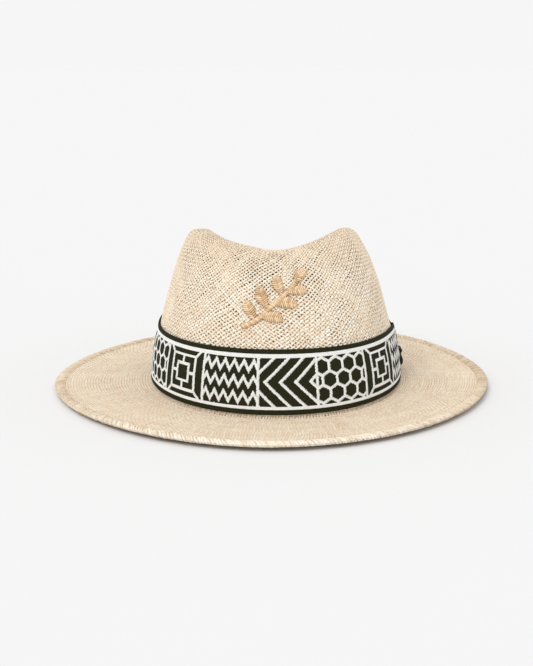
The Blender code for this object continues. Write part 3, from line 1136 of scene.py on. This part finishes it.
def straw_group():
    """Split straw: fine fibres along it, slow patches and tan flecks, with painted shade: darker
    edges, a browner underside, and a browner, darker colour where its tone is pushed low.
    """
    grey = (0.5, 0.5, 0.5, 1.0)
    inputs = [("Light", "Color", grey), ("Deep", "Color", grey), ("Fleck And Shade", "Color", grey)]
    inputs += [("Spread", "Float", 1.0), ("Edge Shade", "Float", 0.8)]
    outputs = [("Color", "Color"), ("Roughness", "Float"), ("Height", "Float")]
    tree, given, made = new_group("straw_fibre", inputs, outputs)
    run = read_run(tree)
    fibres = grain(tree, run, (160.0, 5.0, 53.0), 3.0)
    patches = grain(tree, run, (70.0, 0.3, 97.0), 1.0)
    spots = grain(tree, run, (110.0, 1.2, 31.0), 1.0)
    share = calc(tree, "MULTIPLY_ADD", calc(tree, "SUBTRACT", run[2], 0.5), given["Spread"], 0.5)
    share = calc(tree, "MULTIPLY_ADD", calc(tree, "SUBTRACT", patches, 0.5), 2.0, share)
    share = calc(tree, "MULTIPLY_ADD", calc(tree, "SUBTRACT", fibres, 0.5), 1.0, share)
    color = blend(tree, fade(tree, share, 0.0, 1.0), given["Deep"], given["Light"])
    color = blend(tree, fade(tree, spots, 0.62, 0.72, 0.0, 0.6), color, given["Fleck And Shade"])
    # Painted shade: straws whose tone is pushed low turn browner
    color = blend(tree, fade(tree, share, -0.8, -2.2, 0.0, 0.7), color, given["Fleck And Shade"])
    # Painted shade: the underside of each straw turns browner
    color = blend(tree, fade(tree, run[1], 0.0, -0.25, 0.0, 0.85), color, given["Fleck And Shade"])
    # Painted shade: the sides and underside of each straw are darkened by Edge Shade
    edge = calc(tree, "ABSOLUTE", calc(tree, "SUBTRACT", run[1], 0.5))
    shade = fade(tree, edge, 0.2, 0.5, 1.0, 0.0)
    left = calc(tree, "SUBTRACT", 1.0, given["Edge Shade"])
    shade = calc(tree, "MULTIPLY_ADD", left, shade, given["Edge Shade"])
    # Painted shade: straws whose tone is pushed low are darkened as well
    shade = calc(tree, "MULTIPLY", shade, fade(tree, share, -0.2, -1.4, 1.0, 0.76))
    shaded = add(tree, "ShaderNodeVectorMath", {0: color, "Scale": shade}, operation="SCALE")
    tree.links.new(shaded.outputs[0], made["Color"])
    tree.links.new(fade(tree, fibres, 0.2, 0.8, 0.62, 0.42), made["Roughness"])
    tree.links.new(fibres, made["Height"])
    return tree


def ply_group():
    """Twisted thread: slanting plies around it and a slow change of tone."""
    grey = (0.5, 0.5, 0.5, 1.0)
    inputs = [("Light", "Color", grey), ("Deep", "Color", grey), ("Turns", "Float", 600.0)]
    outputs = [("Color", "Color"), ("Height", "Float")]
    tree, given, made = new_group("twisted_ply", inputs, outputs)
    run = read_run(tree)
    turns = calc(tree, "MULTIPLY", run[0], given["Turns"])
    slant = calc(tree, "MULTIPLY", calc(tree, "ADD", turns, run[1]), 2 * math.pi)
    plies = calc(tree, "MULTIPLY_ADD", calc(tree, "SINE", slant), 0.5, 0.5)
    patches = grain(tree, run, (90.0, 0.5, 71.0), 2.0)
    share = calc(tree, "MULTIPLY_ADD", plies, 0.5, calc(tree, "MULTIPLY", patches, 0.9))
    color = blend(tree, fade(tree, share, 0.15, 0.85), given["Deep"], given["Light"])
    tree.links.new(color, made["Color"])
    tree.links.new(plies, made["Height"])
    return tree


def new_material(name, roughness, specular):
    """A material with its tree and its shader."""
    made = bpy.data.materials.new(name)
    made.use_nodes = True
    shader = made.node_tree.nodes["Principled BSDF"]
    shader.inputs["Roughness"].default_value = roughness
    shader.inputs["Specular IOR Level"].default_value = specular
    return made, made.node_tree, shader.inputs


def emboss(tree, height, distance, strength):
    inputs = {"Height": height, "Distance": distance, "Strength": strength}
    return add(tree, "ShaderNodeBump", inputs).outputs["Normal"]


def straw_material(name, group, colors, spread, edge_shade):
    made, tree, shader = new_material(name, 0.5, 0.3)
    inputs = {"Light": colors[0], "Deep": colors[1], "Fleck And Shade": FLECK_AND_SHADE_COLOR}
    inputs.update({"Spread": spread, "Edge Shade": edge_shade})
    fibre = add(tree, "ShaderNodeGroup", {}, node_tree=group)
    for title, value in inputs.items():
        fibre.inputs[title].default_value = value
    tree.links.new(fibre.outputs["Color"], shader["Base Color"])
    tree.links.new(fibre.outputs["Roughness"], shader["Roughness"])
    tree.links.new(emboss(tree, fibre.outputs["Height"], 0.15 * MM, 0.5), shader["Normal"])
    return made


def ply_material(name, group, colors, turns, roughness, specular):
    made, tree, shader = new_material(name, roughness, specular)
    ply = add(tree, "ShaderNodeGroup", {}, node_tree=group)
    for title, value in (("Light", colors[0]), ("Deep", colors[1]), ("Turns", turns)):
        ply.inputs[title].default_value = value
    tree.links.new(ply.outputs["Color"], shader["Base Color"])
    tree.links.new(emboss(tree, ply.outputs["Height"], 0.1 * MM, 0.5), shader["Normal"])
    return made


def ground_material():
    """Dark ribbon cloth: fine slanting ribs and cross picks, with slow patches."""
    made, tree, shader = new_material("ribbon_ground", 0.8, 0.1)
    run = read_run(tree)
    slope = calc(tree, "MULTIPLY", run[0], 1 / (0.7 * MM))
    slope = calc(tree, "MULTIPLY_ADD", run[1], 1 / (0.9 * MM), slope)
    ribs = calc(tree, "SINE", calc(tree, "MULTIPLY", slope, 2 * math.pi))
    picks = calc(tree, "SINE", calc(tree, "MULTIPLY", run[1], 2 * math.pi / (0.5 * MM)))
    weave = calc(tree, "ADD", ribs, picks)
    patches = grain(tree, run, (900.0, 900.0, 0.0), 3.0)
    share = calc(tree, "MULTIPLY_ADD", weave, 0.2, patches)
    color = blend(tree, fade(tree, share, 0.2, 0.8), GROUND_COLORS[1], GROUND_COLORS[0])
    tree.links.new(color, shader["Base Color"])
    tree.links.new(fade(tree, patches, 0.3, 0.7, 0.72, 0.9), shader["Roughness"])
    tree.links.new(emboss(tree, weave, 0.08 * MM, 0.6), shader["Normal"])
    return made


def floor_material():
    """Pale matt paper, very even."""
    made, tree, shader = new_material("pale_floor", 1.0, 0.0)
    place = add(tree, "ShaderNodeTexCoord", {}).outputs["Object"]
    inputs = {"Vector": place, "Scale": 7.0, "Detail": 2.0}
    cloud = add(tree, "ShaderNodeTexNoise", inputs).outputs[0]
    tree.links.new(blend(tree, cloud, *FLOOR_COLORS), shader["Base Color"])
    return made


def build_stage():
    mesh = bpy.data.meshes.new("floor")
    corners = [(-1, -1), (1, -1), (1, 1), (-1, 1)]
    corners = [(x * FLOOR_REACH, y * FLOOR_REACH, 0.0) for x, y in corners]
    mesh.from_pydata(corners, [], [(0, 1, 2, 3)])
    mesh.materials.append(floor_material())
    floor = bpy.data.objects.new("floor", mesh)
    bpy.context.scene.collection.objects.link(floor)
    floor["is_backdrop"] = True
    world = bpy.data.worlds.new("soft_room")
    world.use_nodes = True
    background = world.node_tree.nodes["Background"]
    background.inputs["Color"].default_value = (LIGHT_LEVEL, LIGHT_LEVEL, LIGHT_LEVEL, 1.0)
    background.inputs["Strength"].default_value = 1.0
    bpy.context.scene.world = world
    light = bpy.data.lights.new("soft_key", "SUN")
    light.energy = KEY_ENERGY
    light.angle = math.radians(KEY_ANGLE)
    key = bpy.data.objects.new("soft_key", light)
    key.rotation_euler = (math.radians(KEY_TILT), 0.0, math.radians(KEY_TURN))
    bpy.context.scene.collection.objects.link(key)


def build_camera():
    camera = bpy.data.cameras.new("photo_view")
    camera.lens = LENS
    camera.sensor_width = 36.0
    view = bpy.data.objects.new("photo_view", camera)
    view.location = CAMERA_PLACE
    view.rotation_euler = (math.radians(CAMERA_TILT), 0.0, math.radians(CAMERA_TURN))
    bpy.context.scene.collection.objects.link(view)
    bpy.context.scene.camera = view


build_camera()
build_stage()
straw = straw_group()
ply = ply_group()
rising_straw = straw_material("rising_straw", straw, RISING_COLORS, 0.9, 0.80)
falling_straw = straw_material("falling_straw", straw, FALLING_COLORS, 0.9, 0.76)
outward_straw = straw_material("outward_straw", straw, OUTWARD_COLORS, 0.9, 0.80)
ring_straw = straw_material("ring_straw", straw, RING_COLORS, 0.7, 0.76)
hem_straw = straw_material("hem_straw", straw, HEM_COLORS, 1.0, 0.80)
build_crown(rising_straw, falling_straw)
build_brim(outward_straw, ring_straw)
build_hem(hem_straw, ring_straw)
ribbon = build_ribbon(ground_material())
threads = build_threads(ply_material("ribbon_white", ply, THREAD_COLORS, 400.0, 0.7, 0.2))
build_knot(ply_material("knot_black", ply, CORD_COLORS, 700.0, 0.5, 0.4))
build_sprig(straw_material("raffia", straw, RAFFIA_COLORS, 1.5, 0.55))
float(ribbon_girth())

bpy.context.scene.view_settings.view_transform = "Standard"
boxes = [[list(map(float, corner)) for corner in box] for box in (solids_box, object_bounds())]
